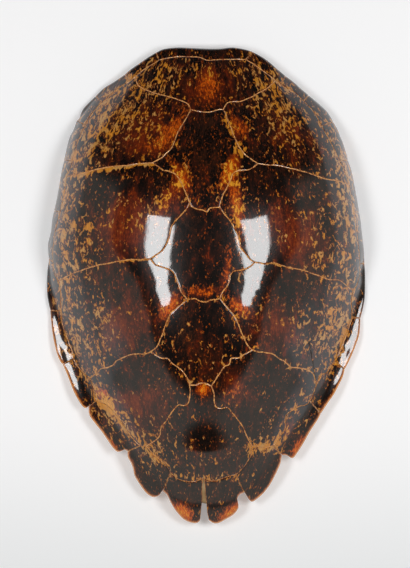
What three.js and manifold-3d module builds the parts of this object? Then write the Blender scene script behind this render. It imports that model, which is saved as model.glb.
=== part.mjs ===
// The upper shell of a sea turtle: one bony dome under thirty-eight horny scutes.
// Millimetres, +Z up, +Y towards the head. The shell stands on the lower edge of its flanks at z = 0,
// and the origin is under the middle of its outline.
import * as THREE from "three";
import { mergeVertices } from "three/addons/utils/BufferGeometryUtils.js";
import Module from "manifold-3d";

const wasm = await Module();
wasm.setup();

// Driving dimensions
const apexY = 43; // the highest point lies ahead of the middle
const apexHeight = 165;
const halfWidth = 238; // reach of the dome to the side, to the head and to the tail of that point
const headReach = 314;
const tailReach = 388;
const scuteThickness = 3;
const jointGap = 0.3; // between neighbouring scutes, and between a scute and the bone
const lipGap = 0.75; // between the bone's edge and the horn beyond it
const boneThickness = 6;
const lipHeight = 7.5; // of the rounded edge, from its underside to where the outer face starts
const hookWidth = 26; // how far the edge scutes turn in under the rim
const lipRound = 3; // how far the rounded edge reaches out past its faces

// Section of the dome
const domeFoot = 0.55; // share of the brim, in from the rim, where the dome alone would end
const rimPull = 6; // how late the section starts to follow the rim rather than an oval
const topPower = 0.55; // lower is blunter, 1 is a parabola
const topShare = 0.25; // the top is one even cap out to here,
const slopeShare = 0.75; // and from here on each slope has its own power
const hollowSoftness = 14; // of the blend between the dome and the brim
const fullSoftBrim = 20; // width from which a brim has the whole of that softness

// Section of the bone's wall
const hookCover = 12; // horn's least reach in under the bone
const wallLean = 20; // how far the hollow's wall starts outside the shoulder
const wallSag = 2;
const footInset = 8; // the wall's foot, in from the horn's edge and up from it

// Half of the outline without its lobes, from the tail round to the head.
const girth = [
  [0, -359], [38, -352], [80, -321], [131, -257], [178, -191], [201, -156], [216, -118], [232, -67],
  [239, -18], [239, 17], [233, 80], [223, 143], [211, 197], [194, 242], [168, 278], [123, 314],
  [73, 349], [46, 356], [0, 356],
];

// What changes round the rim, by degrees turned from the tail: 180 is the head.
const brimWidth = [[0, 58], [10, 54], [24, 44], [39, 42], [52, 42], [62, 38], [72, 26], [82, 11], [94, 0]];
const brimSlope = [[0, 0.5], [24, 0.42], [36, 0.26], [46, -0.1], [85, -0.06]];
const rimLift = [[0, 8], [22, 14], [40, 14], [56, 7], [70, 0], [118, 0], [142, 4], [160, 12], [180, 22]];
const solidEdge = [[0, 20], [40, 18], [60, 6], [75, 3.2]]; // horn beyond the edge of the bone
const slopePower = [[46, 1.15], [102, 0.55], [124, 0.55], [172, 1.1]];

// The outline, lobes and all, from the right of the tail notch round to its left.
const rim = [
  [3, -353], [19, -356], [40, -344], [48, -325], [56, -310], [61, -312], [69, -325], [86, -311],
  [105, -283], [113, -257], [127, -260], [146, -236], [166, -204], [172, -190], [186, -176],
  [208, -125], [224, -94], [233, -51], [239, -7], [239, 34], [230, 110], [213, 197], [191, 247],
  [162, 278], [105, 326], [70, 350], [40, 356], [0, 355], [-42, 356], [-75, 349], [-114, 323],
  [-166, 284], [-194, 247], [-213, 188], [-228, 112], [-237, 50], [-239, -1], [-235, -37],
  [-216, -118], [-198, -159], [-178, -182], [-168, -204], [-147, -232], [-129, -248], [-118, -248],
  [-112, -266], [-99, -298], [-84, -315], [-66, -308], [-55, -320], [-42, -341], [-19, -356],
  [-8.5, -352],
];

// Seams between the scutes, seen from above. Those that cross the midline run from left to right.
const tailNotch = [-3, -285];
const midSeams = {
  nuchal: [[-71, 337], [-39, 341], [-9, 340], [1, 336], [24, 337], [59, 338]],
  v1v2: [[-23, 260], [-2, 255], [16, 259], [25, 260]],
  v2v3: [[-24, 119], [-10, 110], [1, 107], [7, 113], [20, 114]],
  v3v4: [[-28, -20], [0, -24], [20, -18]],
  v4v5: [[-24, -146], [-8, -143], [8, -147]],
  tail: [[-53, -278], [-42, -287], [-24, -292], tailNotch, [21, -287], [44, -281]],
};

// Down each flank, from the midline seams outwards. The edge runs from the head to the tail, one
// stretch for each of the eleven marginal scutes.
const sideSeams = {
  left: {
    v1c1: [[-107, 312], [-98, 295], [-68, 284], [-34, 272], [-23, 260]],
    v2c1: [[-23, 260], [-31, 244], [-42, 224], [-51, 201], [-64, 188], [-79, 179]],
    v2c2: [[-79, 179], [-63, 169], [-45, 163], [-32, 141], [-24, 119]],
    v3c2: [[-24, 119], [-41, 98], [-52, 78], [-57, 60], [-71, 46], [-82, 39]],
    v3c3: [[-82, 39], [-66, 27], [-49, 20], [-41, 2], [-28, -20]],
    v4c3: [[-28, -20], [-52, -40], [-63, -69], [-70, -87], [-81, -97]],
    v4c4: [[-81, -97], [-56, -107], [-41, -119], [-29, -133], [-24, -146]],
    v5c4: [[-24, -146], [-26, -173], [-40, -175], [-59, -200], [-68, -220], [-89, -239]],
    c1c2: [[-79, 179], [-111, 177], [-156, 172], [-186, 165], [-207, 162]],
    c2c3: [[-82, 39], [-126, 36], [-170, 27], [-201, 16], [-220, 6]],
    c3c4: [[-81, -97], [-113, -102], [-137, -117], [-156, -124], [-174, -139]],
    edge: [
      [[-71, 337], [-92, 323], [-107, 312], [-113, 306]],
      [[-113, 306], [-138, 288], [-156, 273]],
      [[-156, 273], [-171, 257], [-180, 239]],
      [[-180, 239], [-190, 214], [-198, 185]],
      [[-198, 185], [-207, 162], [-211, 135], [-217, 109]],
      [[-217, 109], [-227, 68], [-229, 35]],
      [[-229, 35], [-227, 20], [-220, 6], [-217, -38]],
      [[-217, -38], [-215, -59], [-207, -81], [-198, -110]],
      [[-198, -110], [-188, -126], [-174, -139], [-163, -171]],
      [[-163, -171], [-149, -178], [-137, -187], [-127, -202], [-114, -222], [-98, -238]],
      [[-98, -238], [-89, -239], [-71, -257], [-53, -278]],
    ],
    // where each marginal scute starts at the rim, and where the last one ends
    rimEnds: [
      [-75, 349], [-122, 316], [-166, 284], [-194, 247], [-213, 188], [-228, 112],
      [-236, 40], [-234, -37], [-215, -118], [-176, -181], [-118, -248], [-65, -308],
    ],
    notchEdge: [[-5.4, -300], [-5.8, -322], [-8, -338], [-8.5, -352], [-10, -400]],
  },
  right: {
    v1c1: [[103, 307], [87, 291], [65, 279], [38, 272], [25, 260]],
    v2c1: [[25, 260], [39, 226], [48, 205], [60, 189], [76, 178]],
    v2c2: [[76, 178], [60, 169], [39, 163], [31, 143], [20, 114]],
    v3c2: [[20, 114], [34, 95], [46, 75], [50, 55], [71, 34]],
    v3c3: [[71, 34], [58, 24], [41, 21], [33, 7], [20, -18]],
    v4c3: [[20, -18], [41, -43], [53, -71], [67, -94]],
    v4c4: [[67, -94], [48, -106], [37, -106], [26, -119], [8, -147]],
    v5c4: [[8, -147], [11, -168], [31, -179], [51, -204], [68, -238]],
    c1c2: [[76, 178], [123, 172], [153, 165], [178, 157], [213, 150]],
    c2c3: [[71, 34], [109, 30], [152, 19], [198, 7], [220, -8]],
    c3c4: [[67, -94], [98, -101], [121, -116], [149, -125], [164, -149]],
    edge: [
      [[59, 338], [79, 325], [103, 307], [111, 300]],
      [[111, 300], [132, 288], [146, 275]],
      [[146, 275], [159, 261], [172, 237]],
      [[172, 237], [186, 212], [199, 185]],
      [[199, 185], [207, 169], [213, 150], [220, 109]],
      [[220, 109], [226, 68], [230, 32]],
      [[230, 32], [229, 13], [220, -8], [218, -48]],
      [[218, -48], [213, -66], [203, -90], [193, -112]],
      [[193, -112], [180, -130], [164, -149], [155, -172]],
      [[155, -172], [138, -180], [119, -194], [118, -211], [100, -238]],
      [[100, -238], [68, -238], [67, -252], [55, -270], [44, -281]],
    ],
    rimEnds: [
      [70, 350], [121, 313], [154, 284], [191, 245], [213, 188], [230, 110],
      [238, 34], [232, -49], [208, -126], [172, -192], [114, -254], [58, -310],
    ],
    notchEdge: [[-2, -300], [0.2, -322], [1.5, -338], [3, -353], [5, -400]],
  },
};

const v2 = ([x, y]) => new THREE.Vector2(x, y);

// A value read from a table of [position, value] pairs, easing from each pair to the next.
function eased(table, at) {
  const next = table.findIndex(([position]) => at < position);
  if (next === 0) return table[0][1];
  if (next < 0) return table.at(-1)[1];
  const [from, low] = table[next - 1];
  const [to, high] = table[next];
  return low + (high - low) * THREE.MathUtils.smoothstep(at, from, to);
}

// Degrees turned from the tail about the highest point, the same on both sides.
function tailTurn(x, y) {
  return THREE.MathUtils.radToDeg(Math.atan2(Math.abs(x), apexY - y));
}

const girthReach = new THREE.CubicInterpolant(
  girth.map(([x, y]) => tailTurn(x, y)),
  girth.map(([x, y]) => Math.hypot(x, y - apexY)),
  1,
);
girthReach.settings = { endingStart: THREE.ZeroSlopeEnding, endingEnd: THREE.ZeroSlopeEnding };

// Height of the outer face: a dome that meets a flared brim at the rear, blended over a soft hollow.
function outerHeight(x, y) {
  const reach = Math.hypot(x, y - apexY);
  const turn = tailTurn(x, y);
  const edge = girthReach.evaluate(turn)[0];
  const brim = eased(brimWidth, turn);
  const slope = eased(brimSlope, turn);
  const edgeTop = eased(rimLift, turn) + lipHeight;
  const foot = edge - brim * domeFoot;
  const along = y > apexY ? headReach : tailReach;
  const oval = reach ? reach / Math.hypot(x / halfWidth, (y - apexY) / along) : halfWidth;
  const rimShare = Math.min(1, (reach / foot) ** rimPull);
  const share = reach / THREE.MathUtils.lerp(oval, foot, rimShare);
  const base = edgeTop + (slope * brim) / 2;
  const out = THREE.MathUtils.smoothstep(share, topShare, slopeShare);
  const power = THREE.MathUtils.lerp(topPower, eased(slopePower, turn), out);
  const fall = 1 - share * share; // below zero beyond the dome's foot, where the brim takes over
  if (brim === 0) return base + (apexHeight - base) * Math.max(0, fall) ** power;
  const crown = base + (apexHeight - base) * Math.sign(fall) * Math.abs(fall) ** power;
  const flare = edgeTop + slope * Math.min(edge - reach, 2 * brim);
  const softness = hollowSoftness * Math.min(1, brim / fullSoftBrim);
  return (crown + flare + Math.hypot(crown - flare, softness)) / 2;
}

// One half plane through the highest point for each point of the rim.
const spokes = rim.map((point) => {
  const way = v2(point).sub(v2([0, apexY]));
  const reach = way.length();
  const turn = tailTurn(...point);
  return { reach, way: way.normalize(), lift: eased(rimLift, turn), edge: eased(solidEdge, turn) };
});

function heightOn(spoke, reach) {
  return outerHeight(spoke.way.x * reach, apexY + spoke.way.y * reach);
}

// The point of a spoke's section that lies depth under the outer face, square to it.
function under(spoke, reach, depth) {
  const height = Math.max(heightOn(spoke, reach), spoke.lift + lipHeight);
  if (reach === 0) return new THREE.Vector2(0, height - depth);
  const slope = (heightOn(spoke, reach + 1) - heightOn(spoke, reach - 1)) / 2;
  const inwards = new THREE.Vector2(slope, -1).normalize();
  return new THREE.Vector2(reach, height).addScaledVector(inwards, depth);
}

const shoulder = 60; // the part of a section that keeps its distance from the rim
const domeRings = [0, 0.35, 0.7, 1]; // shares of the reach inside the shoulder
const rimRings = [34, 14, 1.5]; // distances in from the rim
const boneRings = [11, 4, 1]; // the same rings on the bone, from its own edge

const hookOf = (spoke) => Math.max(hookWidth, spoke.edge + hookCover);

// Outer face of the horn on one spoke, from the highest point over the rim and under it.
function hornFace(spoke) {
  const { reach, lift } = spoke;
  return [
    ...domeRings.map((share) => under(spoke, share * (reach - shoulder), 0)),
    ...rimRings.map((gap) => under(spoke, reach - gap, 0)),
    new THREE.Vector2(reach, lift + lipHeight / 2),
    new THREE.Vector2(reach - lipRound, lift),
    new THREE.Vector2(reach - hookOf(spoke), lift),
  ];
}

// Face of the bone on one spoke, or the horn's inner face where depth is the horn's own thickness.
function boneFace(spoke, depth) {
  const { reach, lift, edge } = spoke;
  const lip = reach - edge - (depth > scuteThickness ? lipGap : 0);
  return [
    ...domeRings.map((share) => under(spoke, share * (reach - shoulder), depth)),
    ...rimRings.map((gap, i) => under(spoke, reach - Math.max(gap, edge + boneRings[i]), depth)),
    new THREE.Vector2(lip, lift + depth + lipRound / 6),
    new THREE.Vector2(lip - lipRound / 2, lift + depth),
    new THREE.Vector2(reach - hookOf(spoke), lift + depth),
  ];
}

// Hollow side of the bone on one spoke, from the highest point down to the foot of the wall.
function hollowFace(spoke) {
  const depth = scuteThickness + jointGap + boneThickness;
  return [
    ...domeRings.map((share) => under(spoke, share * (spoke.reach - shoulder), depth)),
    under(spoke, spoke.reach - shoulder + wallLean, depth + wallSag),
    new THREE.Vector2(spoke.reach - hookOf(spoke) - footInset, spoke.lift + footInset),
  ];
}

// A closed body between two faces, each given as its section on a spoke. The first face is the lower
// one, unless insideOut is set.
function bodyBetween(first, second, insideOut = false) {
  const sections = spokes.map((spoke) => [...first(spoke), ...second(spoke).reverse()]);
  const count = sections[0].length;
  const profile = sections[0].map((_, j) => new THREE.Vector2(j % (count - 1) ? 1 : 0, j));
  const geometry = new THREE.LatheGeometry(profile, spokes.length);
  const position = geometry.getAttribute("position");
  for (let i = 0; i <= spokes.length; i++) {
    const { way } = spokes[i % spokes.length];
    sections[i % spokes.length].forEach((point, j) => {
      position.setXYZ(i * count + j, way.x * point.x, apexY + way.y * point.x, point.y);
    });
  }
  // Both faces are split along the same diagonals, so that the wall between them stays even.
  const firstCount = first(spokes[0]).length;
  const corners = geometry.index.array;
  for (let quad = 0; quad * 6 < corners.length; quad++) {
    if (quad % (count - 1) < firstCount) continue;
    const [a, b, d, c] = corners.slice(quad * 6, quad * 6 + 4);
    corners.set([a, b, c, c, d, a], quad * 6);
  }
  if (insideOut) corners.reverse();
  return toSolid(geometry);
}

function toSolid(geometry) {
  geometry.deleteAttribute("normal");
  geometry.deleteAttribute("uv");
  const merged = mergeVertices(geometry, 1e-3);
  const vertProperties = merged.getAttribute("position").array;
  const triVerts = merged.index.array;
  return new wasm.Manifold(new wasm.Mesh({ numProp: 3, vertProperties, triVerts }));
}

// Corners of a closed outline, each moved inwards so that its sides move in by the distance given.
function inset(outline, distance) {
  const side = Math.sign(THREE.ShapeUtils.area(outline));
  return outline.map((point, i) => {
    const before = point.clone().sub(outline.at(i - 1)).normalize();
    const after = outline[(i + 1) % outline.length].clone().sub(point).normalize();
    const inwards = new THREE.Vector2(-before.y - after.y, before.x + after.x);
    return point.clone().addScaledVector(inwards, (side * distance) / (1 + before.dot(after)));
  });
}

// Each scute is cut out by a cone whose tip is inside the shell, so its sides stand square to the dome.
const coneTip = new THREE.Vector3(0, 20, -150);
const coneInner = 0.55; // shares of the way from the tip to the outer face
const coneOuter = 1.25;

function cone(points) {
  const same = (a, b) => a && a[0] === b[0] && a[1] === b[1];
  const outline = points.filter((point, i) => !same(points[i - 1], point));
  const shape = new THREE.Shape(inset(outline.map(v2), jointGap / 2));
  const geometry = new THREE.ExtrudeGeometry(shape, { depth: 1, bevelEnabled: false });
  const position = geometry.getAttribute("position");
  const point = new THREE.Vector3();
  for (let i = 0; i < position.count; i++) {
    const [x, y, layer] = [position.getX(i), position.getY(i), position.getZ(i)];
    point.set(x, y, Math.max(outerHeight(x, y), lipHeight)).sub(coneTip);
    point.multiplyScalar(layer > 0.5 ? coneOuter : coneInner).add(coneTip);
    position.setXYZ(i, point.x, point.y, point.z);
  }
  return toSolid(geometry);
}

const backwards = (seam) => [...seam].reverse();

// The points of a seam from one of its points to another.
function stretch(seam, from, to) {
  const find = ([x, y]) => seam.findIndex((point) => point[0] === x && point[1] === y);
  return seam.slice(find(from), find(to) + 1);
}

// A point past the rim, on the line from a seam's end through a point of the rim.
const overshoot = 80;
function past(seamEnd, rimPoint) {
  const way = v2(rimPoint).sub(v2(seamEnd)).normalize();
  return v2(rimPoint).addScaledVector(way, overshoot).toArray();
}

const { left, right } = sideSeams;
const outlines = {
  nuchal_scute: [
    ...midSeams.nuchal,
    past(right.edge[0][0], right.rimEnds[0]),
    past(left.edge[0][0], left.rimEnds[0]),
  ],
  vertebral_scute_1: [
    ...midSeams.nuchal,
    ...stretch(right.edge[0], right.edge[0][0], right.v1c1[0]),
    ...right.v1c1,
    ...backwards(midSeams.v1v2),
    ...backwards(left.v1c1),
    ...backwards(stretch(left.edge[0], left.edge[0][0], left.v1c1[0]).slice(1)),
  ],
  vertebral_scute_5: [
    ...midSeams.v4v5,
    ...right.v5c4,
    ...stretch(right.edge[10], right.v5c4.at(-1), right.edge[10].at(-1)),
    ...backwards(midSeams.tail),
    ...backwards(stretch(left.edge[10], left.v5c4.at(-1), left.edge[10].at(-1))),
    ...backwards(left.v5c4.slice(1)),
  ],
};
const crossings = [midSeams.v1v2, midSeams.v2v3, midSeams.v3v4, midSeams.v4v5];
for (const i of [2, 3, 4]) {
  outlines[`vertebral_scute_${i}`] = [
    ...crossings[i - 2],
    ...right[`v${i}c${i - 1}`],
    ...right[`v${i}c${i}`],
    ...backwards(crossings[i - 1]),
    ...backwards(left[`v${i}c${i}`]),
    ...backwards(left[`v${i}c${i - 1}`].slice(1)),
  ];
}

for (const [side, seams] of Object.entries(sideSeams)) {
  const edge = seams.edge.flatMap((part, i) => (i ? part.slice(1) : part));
  const inner = [
    [...seams.v1c1, ...seams.v2c1],
    [...seams.v2c2, ...seams.v3c2],
    [...seams.v3c3, ...seams.v4c3],
    [...seams.v4c4, ...seams.v5c4],
  ];
  const starts = [[], seams.c1c2, seams.c2c3, seams.c3c4];
  const ends = [seams.c1c2, seams.c2c3, seams.c3c4, []];
  inner.forEach((seam, i) => {
    const from = starts[i].at(-1) ?? seam[0];
    const to = ends[i].at(-1) ?? seam.at(-1);
    const outer = stretch(edge, from, to);
    outlines[`costal_scute_${i + 1}_${side}`] = [
      ...seam,
      ...ends[i],
      ...backwards(outer),
      ...backwards(starts[i]),
    ].slice(0, -1);
  });
  seams.edge.forEach((part, i) => {
    outlines[`marginal_scute_${i + 1}_${side}`] = [
      ...part,
      past(part.at(-1), seams.rimEnds[i + 1]),
      past(part[0], seams.rimEnds[i]),
    ];
  });
  const half = side === "left" ? backwards(midSeams.tail.slice(0, 4)) : midSeams.tail.slice(3);
  outlines[`supracaudal_scute_${side}`] = [
    ...half,
    past(half.at(-1), seams.rimEnds.at(-1)),
    ...backwards(seams.notchEdge),
  ];
}

const horn = bodyBetween((spoke) => boneFace(spoke, scuteThickness), hornFace);
const bone = bodyBetween((spoke) => boneFace(spoke, scuteThickness + jointGap), hollowFace, true);

const shell = new THREE.Group();

function addPiece(name, solid, color, roughness) {
  const { vertProperties, triVerts } = solid.getMesh();
  const geometry = new THREE.BufferGeometry();
  geometry.setAttribute("position", new THREE.BufferAttribute(vertProperties, 3));
  geometry.setIndex(new THREE.BufferAttribute(triVerts, 1));
  geometry.computeVertexNormals();
  const material = new THREE.MeshStandardMaterial({ color, roughness, metalness: 0 });
  const mesh = new THREE.Mesh(geometry, material);
  mesh.name = name;
  shell.add(mesh);
}

addPiece("bony_carapace", bone, "#c9b08a", 0.6);
const hornColors = { nuchal: "#5a3016", vertebral: "#2b1509", costal: "#3a1a0b", marginal: "#6e4220" };
for (const [name, outline] of Object.entries(outlines)) {
  addPiece(name, horn.intersect(cone(outline)), hornColors[name.split("_")[0]] ?? "#7a4a1e", 0.12);
}

export default shell;
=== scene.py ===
import math
import bmesh
import bpy
import numpy as np
from mathutils import Matrix, Vector, noise


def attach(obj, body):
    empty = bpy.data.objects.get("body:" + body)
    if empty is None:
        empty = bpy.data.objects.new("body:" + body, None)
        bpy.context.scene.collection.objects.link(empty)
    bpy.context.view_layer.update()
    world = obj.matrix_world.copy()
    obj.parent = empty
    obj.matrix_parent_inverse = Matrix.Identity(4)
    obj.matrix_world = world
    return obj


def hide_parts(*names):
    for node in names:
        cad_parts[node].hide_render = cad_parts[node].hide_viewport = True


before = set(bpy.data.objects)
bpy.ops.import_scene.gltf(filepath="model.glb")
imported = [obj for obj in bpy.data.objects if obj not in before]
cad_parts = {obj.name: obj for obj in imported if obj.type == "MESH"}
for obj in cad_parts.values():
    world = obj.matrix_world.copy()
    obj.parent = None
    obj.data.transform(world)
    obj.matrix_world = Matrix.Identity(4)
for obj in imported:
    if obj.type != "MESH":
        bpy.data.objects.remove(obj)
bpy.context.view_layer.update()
print("frame loaded:", len(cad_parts), "nodes")

mm = 0.001

# The dome. Everything is in mm until a piece is finished; +Y is the head, z = 0 the ground.
dome = {
    "apexY": 43.0,  # the highest point lies ahead of the middle
    "apexHeight": 165.0,
    "halfWidth": 238.0,
    "headReach": 314.0,
    "tailReach": 388.0,
    "lipHeight": 7.5,  # thickness of the rounded edge
    "hookWidth": 26.0,  # how far the edge plates turn in underneath,
    "hookCover": 12.0,  # and by how much they pass the edge of the bone at least
    "girth": [  # half of the outline without its lobes, tail to head
        (0, -359), (38, -352), (80, -321), (131, -257), (178, -191), (201, -156), (216, -118), (232, -67),
        (239, -18), (239, 17), (233, 80), (223, 143), (211, 197), (194, 242), (168, 278), (123, 314),
        (73, 349), (46, 356), (0, 356)],
    # by degrees turned from the tail, 180 is the head
    "brimWidth": [(0, 58), (10, 54), (24, 44), (39, 42), (52, 42), (62, 38), (72, 26), (82, 11), (94, 0)],
    "brimSlope": [(0, 0.5), (24, 0.42), (36, 0.26), (46, -0.1), (85, -0.06)],
    "rimLift": [(0, 8), (22, 14), (40, 14), (56, 7), (70, 0), (118, 0), (142, 4), (160, 12), (180, 22)],
    "solidEdge": [(0, 20), (40, 18), (60, 6), (75, 3.2)],
    "slopePower": [(46, 1.15), (102, 0.55), (124, 0.55), (172, 1.1)],  # lower is blunter, 1 is a parabola
    "domeFoot": 0.55,  # share of the brim, in from the rim, where the dome alone would end
    "rimPull": 6,  # how late the section starts to follow the rim rather than an oval
    "hollowSoftness": 14.0, # of the blend between the dome and the brim
    "fullSoftBrim": 20.0,  # width from which a brim has the whole of that softness
    "topPower": 0.55,
    "topShare": 0.25,  # the top is one even cap out to here, and the slopes have their own power from
    "slopeShare": 0.75,  # here on
}


def eased(table, at):  # the table's value at this turn, with a soft step between its rows
    places = np.array([p for p, _ in table], float)
    values = np.array([v for _, v in table], float)
    at = np.clip(at, places[0], places[-1])
    i = np.clip(np.searchsorted(places, at, side="right") - 1, 0, len(places) - 2)
    s = (at - places[i]) / (places[i + 1] - places[i])
    return values[i] + (values[i + 1] - values[i]) * s * s * (3 - 2 * s)


def tailTurn(x, y):  # degrees turned from the tail about the highest point, the same on both sides
    return np.degrees(np.arctan2(np.abs(x), dome["apexY"] - y))


girthTurns = np.array([tailTurn(x, y) for x, y in dome["girth"]])
girthReaches = np.array([math.hypot(x, y - dome["apexY"]) for x, y in dome["girth"]])
girthSlopes = np.gradient(girthReaches, girthTurns)
girthSlopes[0] = girthSlopes[-1] = 0


def girthReach(turn):  # smooth curve through the girth points
    i = np.clip(np.searchsorted(girthTurns, turn, side="right") - 1, 0, len(girthTurns) - 2)
    h = girthTurns[i + 1] - girthTurns[i]
    s = (turn - girthTurns[i]) / h
    return ((2 * s**3 - 3 * s**2 + 1) * girthReaches[i] + (s**3 - 2 * s**2 + s) * h * girthSlopes[i]
            + (3 * s**2 - 2 * s**3) * girthReaches[i + 1] + (s**3 - s**2) * h * girthSlopes[i + 1])


def outerHeight(x, y):  # the same surface as the solids: a dome that meets a flared brim at the rear
    x, y = np.asarray(x, float), np.asarray(y, float)
    reach = np.hypot(x, y - dome["apexY"])
    turn = tailTurn(x, y)
    edge = girthReach(turn)
    brim = eased(dome["brimWidth"], turn)
    slope = eased(dome["brimSlope"], turn)
    edgeTop = eased(dome["rimLift"], turn) + dome["lipHeight"]
    foot = edge - brim * dome["domeFoot"]
    along = np.where(y > dome["apexY"], dome["headReach"], dome["tailReach"])
    oval = reach / np.maximum(np.hypot(x / dome["halfWidth"], (y - dome["apexY"]) / along), 1e-9)
    rimShare = np.minimum(1, (reach / foot) ** dome["rimPull"])
    share = reach / np.maximum(oval + (foot - oval) * rimShare, 1e-6)
    base = edgeTop + slope * brim / 2
    out = np.clip((share - dome["topShare"]) / (dome["slopeShare"] - dome["topShare"]), 0, 1)
    top = dome["topPower"]
    power = top + (eased(dome["slopePower"], turn) - top) * out * out * (3 - 2 * out)
    fall = 1 - share * share  # below zero beyond the foot, where the brim takes over
    fall = np.where(brim == 0, np.maximum(0, fall), fall)
    crown = base + (dome["apexHeight"] - base) * np.sign(fall) * np.abs(fall) ** power
    flare = edgeTop + slope * np.minimum(edge - reach, 2 * brim)
    softness = dome["hollowSoftness"] * np.minimum(1, brim / dome["fullSoftBrim"])
    blended = (crown + flare + np.hypot(crown - flare, softness)) / 2
    return np.where(brim == 0, crown, blended)


# Seams of the plates, seen from above. Those that cross the midline run from left to right.
tailNotch = (-3, -285)
notchSides = {  # the slit between the two tail plates, from its inner end outwards
    "left": [(-5.4, -300), (-5.8, -322), (-8, -338)],
    "right": [(-2, -300), (0.2, -322), (1.5, -338)],
}
midSeams = {
    "nuchal": [(-71, 337), (-54, 340), (-39, 341), (-20, 341), (-9, 340), (1, 336), (14, 336), (24, 337),
        (59, 338)],
    "v1v2": [(-23, 260), (-11, 257), (-2, 255), (7, 256), (16, 259), (25, 260)],
    "v2v3": [(-24, 119), (-19, 113), (-10, 110), (-5, 110), (1, 107), (5, 112), (13, 114), (20, 114)],
    "v3v4": [(-28, -20), (-16, -19), (-7, -23), (0, -24), (6, -21), (13, -20), (20, -18)],
    "v4v5": [(-24, -146), (-15, -146), (-8, -143), (-1, -143), (4, -145), (8, -147)],
    "tail": [(-53, -278), (-42, -287), (-30, -291), (-16, -291), tailNotch, (8, -290), (21, -287),
        (34, -283), (44, -281)],
}
leftSeams = {
    "v1c1": [(-107, 312), (-103, 302), (-98, 295), (-86, 289), (-68, 284), (-49, 278), (-34, 272),
        (-27, 268), (-23, 260)],
    "v2c1": [(-23, 260), (-27, 252), (-31, 244), (-37, 234), (-42, 224), (-46, 213), (-51, 201), (-57, 195),
        (-64, 188), (-79, 179)],
    "v2c2": [(-79, 179), (-72, 175), (-63, 169), (-53, 167), (-45, 163), (-38, 153), (-32, 141), (-27, 129),
        (-24, 119)],
    "v3c2": [(-24, 119), (-28, 112), (-41, 98), (-49, 87), (-52, 78), (-54, 69), (-57, 60), (-63, 52),
        (-71, 46), (-82, 39)],
    "v3c3": [(-82, 39), (-75, 31), (-66, 27), (-54, 23), (-49, 20), (-45, 14), (-41, 2), (-36, -10),
        (-28, -20)],
    "v4c3": [(-28, -20), (-43, -33), (-52, -40), (-56, -49), (-59, -58), (-63, -69), (-70, -87), (-75, -93),
        (-81, -97)],
    "v4c4": [(-81, -97), (-65, -106), (-56, -107), (-51, -113), (-41, -119), (-34, -125), (-29, -133),
        (-25, -141), (-24, -146)],
    "v5c4": [(-24, -146), (-24, -160), (-26, -173), (-33, -176), (-40, -175), (-47, -182), (-59, -200),
        (-66, -208), (-68, -220), (-74, -228), (-89, -239)],
    "c1c2": [(-79, 179), (-97, 179), (-111, 177), (-134, 175), (-156, 172), (-172, 169), (-186, 165),
        (-207, 162)],
    "c2c3": [(-82, 39), (-97, 38), (-112, 38), (-126, 36), (-141, 33), (-170, 27), (-186, 22), (-201, 16),
        (-220, 6)],
    "c3c4": [(-81, -97), (-90, -100), (-102, -100), (-113, -102), (-123, -106), (-132, -111), (-137, -117),
        (-143, -120), (-156, -124), (-162, -130), (-174, -139)],
    "edge": [  # one row for each marginal plate, which starts where the last one ended
        [(-71, 337), (-92, 323), (-107, 312), (-113, 306)],
        [(-126, 298), (-138, 288), (-156, 273)],
        [(-171, 257), (-180, 239)],
        [(-190, 214), (-198, 185)],
        [(-207, 162), (-211, 135), (-217, 109)],
        [(-223, 88), (-227, 68), (-229, 35)],
        [(-227, 20), (-220, 6), (-217, -10), (-217, -38)],
        [(-215, -59), (-207, -81), (-201, -97), (-198, -110)],
        [(-188, -126), (-174, -139), (-170, -150), (-163, -171)],
        [(-149, -178), (-137, -187), (-127, -202), (-120, -212), (-114, -222), (-98, -238)],
        [(-89, -239), (-80, -249), (-71, -257), (-60, -267), (-53, -278)],
    ],
}
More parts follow.
